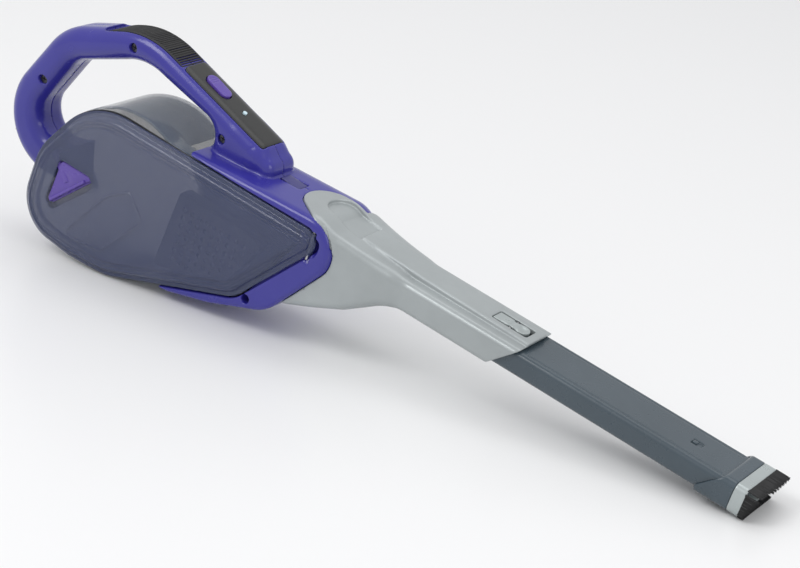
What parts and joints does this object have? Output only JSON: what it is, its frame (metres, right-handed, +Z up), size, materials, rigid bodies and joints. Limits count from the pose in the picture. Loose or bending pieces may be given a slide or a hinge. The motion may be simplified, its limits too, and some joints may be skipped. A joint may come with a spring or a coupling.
{
  "type": "handheld vacuum cleaner",
  "caption": "Cordless handheld vacuum with an open loop handle, a clear side-opening dust bowl and a telescopic crevice tube with a brush tip.",
  "frame": {"origin": "middle of the underside of the foot that the bowl rests on", "axes": "+X along the ground to the brush end, +Z up, -Y out of the door side"},
  "size_m": [0.602, 0.0732, 0.1685],
  "materials": {
    "indigo_plastic": "gloss",
    "grip_rubber": "matte",
    "charcoal_plastic": "satin",
    "screw_steel": "satin",
    "smoke_clear": "gloss",
    "dark_rubber": "matte",
    "silver_plastic": "satin",
    "filter_grey": "matte",
    "filter_paper": "matte",
    "screen_steel": "satin",
    "black_plastic": "satin",
    "motor_steel": "satin",
    "magnet": "matte",
    "bearing_brass": "satin",
    "shaft_steel": "polished",
    "copper": "satin",
    "fan_white": "satin",
    "cell_wrap": "gloss",
    "board_green": "satin",
    "light_lens": "gloss",
    "violet_plastic": "gloss",
    "navy_plastic": "gloss",
    "slate_plastic": "satin",
    "bristle_black": "matte"
  },
  "bodies": {
    "body": {"housing_near": "indigo_plastic", "housing_far": "indigo_plastic", "handle_grip": "grip_rubber", "control_panel": "charcoal_plastic", "housing_screws": "screw_steel", "dust_bowl": "smoke_clear", "bowl_foot": "dark_rubber", "nozzle_housing": "silver_plastic", "inlet_duct": "indigo_plastic", "filter_frame": "filter_grey", "filter_pleats": "filter_paper", "filter_screen": "screen_steel", "fan_shroud": "black_plastic", "motor_can": "motor_steel", "motor_magnets": "magnet", "motor_bracket": "black_plastic", "motor_bearings": "bearing_brass", "battery_cells": "cell_wrap", "battery_holder": "black_plastic", "circuit_board": "board_green", "power_switch": "black_plastic", "charge_socket": "black_plastic", "charge_light": "light_lens", "button_springs": "shaft_steel", "door_hinge_pin": "shaft_steel", "tube_lock_pin": "shaft_steel"},
    "tube": {"crevice_tube": "slate_plastic"},
    "brush": {"brush_collar": "slate_plastic", "brush_band": "silver_plastic", "bristles": "bristle_black"},
    "rotor": {"motor_shaft": "shaft_steel", "motor_armature": "copper", "fan_impeller": "fan_white"},
    "power_button": {"power_button": "violet_plastic"},
    "release_button": {"release_button": "navy_plastic"},
    "door": {"bowl_door": "smoke_clear", "door_seal": "dark_rubber", "latch_spring": "shaft_steel"},
    "latch": {"door_latch": "violet_plastic"},
    "tube_lock": {"tube_lock": "slate_plastic"},
    "flap": {"inlet_flap": "dark_rubber"}
  },
  "joints": [
    {"name": "tube_slide", "type": "slide", "parent": "body", "child": "tube", "axis": [0.9815, 0, -0.1917], "range_m": [-0.13, 0]},
    {"name": "brush_slide", "type": "slide", "parent": "tube", "child": "brush", "axis": [0.9815, 0, -0.1917], "range_m": [-0.015, 0]},
    {"name": "motor_spin", "type": "hinge", "parent": "body", "child": "rotor", "pos_m": [0.09031, 0, 0.04326], "axis": [0, 1, 0], "continuous": true},
    {"name": "power_press", "type": "slide", "parent": "body", "child": "power_button", "axis": [-0.4764, 0, -0.8792], "range_m": [0, 0.0015], "stiffness_N_per_m": 800, "springref_m": -0.001},
    {"name": "release_press", "type": "slide", "parent": "body", "child": "release_button", "axis": [-0.2428, 0, -0.9701], "range_m": [0, 0.0015], "stiffness_N_per_m": 800, "springref_m": -0.001},
    {"name": "door_hinge", "type": "hinge", "parent": "body", "child": "door", "pos_m": [0.15782, -0.031, 0.07593], "axis": [0.1917, 0, 0.9815], "range_deg": [0, 95]},
    {"name": "latch_slide", "type": "slide", "parent": "door", "child": "latch", "axis": [0.5941, 0, -0.8044], "range_m": [0, 0.003], "stiffness_N_per_m": 500, "springref_m": -0.001},
    {"name": "lock_rock", "type": "hinge", "parent": "body", "child": "tube_lock", "pos_m": [0.29367, 0, 0.05673], "axis": [0, 1, 0], "range_deg": [0, 4], "stiffness_Nm_per_rad": 0.6, "springref_deg": -1.72},
    {"name": "flap_swing", "type": "hinge", "parent": "body", "child": "flap", "pos_m": [0.06976, 0, 0.09455], "axis": [0, 1, 0], "range_deg": [0, 60]}
  ]
}
